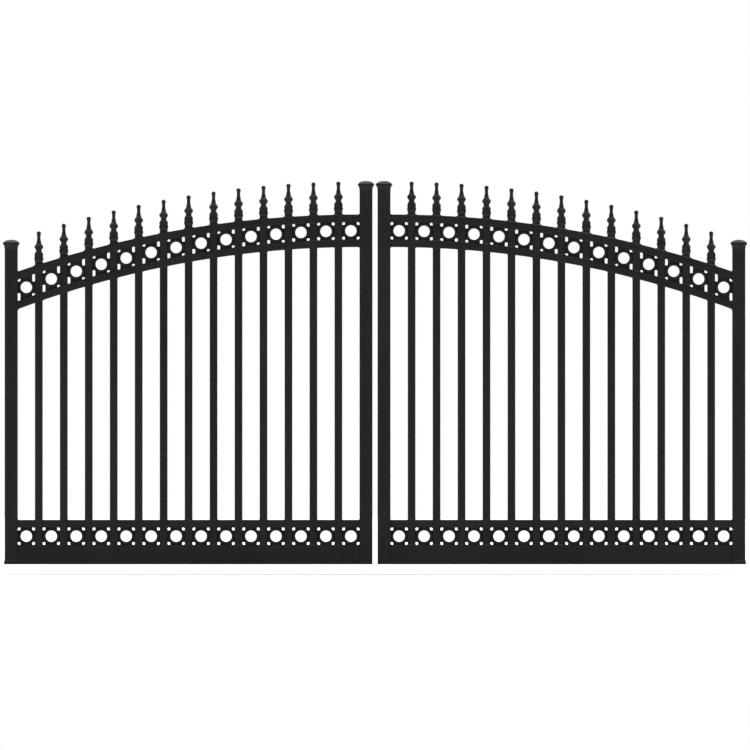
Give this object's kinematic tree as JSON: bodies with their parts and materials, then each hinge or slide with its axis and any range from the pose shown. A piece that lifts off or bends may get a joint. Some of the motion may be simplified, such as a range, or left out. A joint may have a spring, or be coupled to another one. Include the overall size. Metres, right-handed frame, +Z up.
{
  "type": "wrought iron driveway gate",
  "caption": "Arched double swing driveway gate with square pickets, turned finials, punched rails and bands of rings, hung on bolt-on hook plates.",
  "frame": {"origin": "centre of the flat back face of the left lower hook plate, where it meets the pier", "axes": "+X along the gate from the left pier to the right, +Y out of the back into the piers, so the front faces -Y, and +Z up"},
  "size_m": [3.677, 0.1375, 1.8937],
  "materials": {
    "frame_paint": "Satin black paint over steel, with a fine orange-peel surface and slightly worn edges.",
    "picket_paint": "Satin black paint over steel, with a fine orange-peel surface and slightly worn edges.",
    "ring_paint": "Satin black paint over forged rings, a little rougher than the bars.",
    "cap_paint": "Satin black paint over pressed steel caps.",
    "casting_paint": "Black paint over iron castings, with a fine sand texture.",
    "hinge_paint": "Black painted hinge hooks and eyes, worn brighter where they turn."
  },
  "bodies": {
    "hook_plates": {"left_lower_hook_plate": "hinge_paint", "left_upper_hook_plate": "hinge_paint", "right_lower_hook_plate": "hinge_paint", "right_upper_hook_plate": "hinge_paint"},
    "left_leaf": {"left_hinge_stile": "frame_paint", "left_lock_stile": "frame_paint", "left_hinge_stile_cap": "cap_paint", "left_lock_stile_cap": "cap_paint", "left_hinge_stile_shoe": "frame_paint", "left_bottom_rail": "frame_paint", "left_band_rail": "frame_paint", "left_lower_arch_rail": "frame_paint", "left_upper_arch_rail": "frame_paint", "left_pickets": "picket_paint", "left_finials": "casting_paint", "left_lower_rings": "ring_paint", "left_arch_rings": "ring_paint", "left_lower_hinge_eye": "hinge_paint", "left_upper_hinge_eye": "hinge_paint"},
    "right_leaf": {"right_hinge_stile": "frame_paint", "right_lock_stile": "frame_paint", "right_hinge_stile_cap": "cap_paint", "right_lock_stile_cap": "cap_paint", "right_hinge_stile_shoe": "frame_paint", "right_bottom_rail": "frame_paint", "right_band_rail": "frame_paint", "right_lower_arch_rail": "frame_paint", "right_upper_arch_rail": "frame_paint", "right_pickets": "picket_paint", "right_finials": "casting_paint", "right_lower_rings": "ring_paint", "right_arch_rings": "ring_paint", "right_lower_hinge_eye": "hinge_paint", "right_upper_hinge_eye": "hinge_paint"}
  },
  "joints": [
    {"name": "left_leaf_swing", "type": "hinge", "parent": "hook_plates", "child": "left_leaf", "pos_m": [-0.012, -0.04, 0], "axis": [0, 0, -1], "range_deg": [0, 90]},
    {"name": "right_leaf_swing", "type": "hinge", "parent": "hook_plates", "child": "right_leaf", "pos_m": [3.606, -0.04, 0], "axis": [0, 0, 1], "range_deg": [0, 90]}
  ]
}
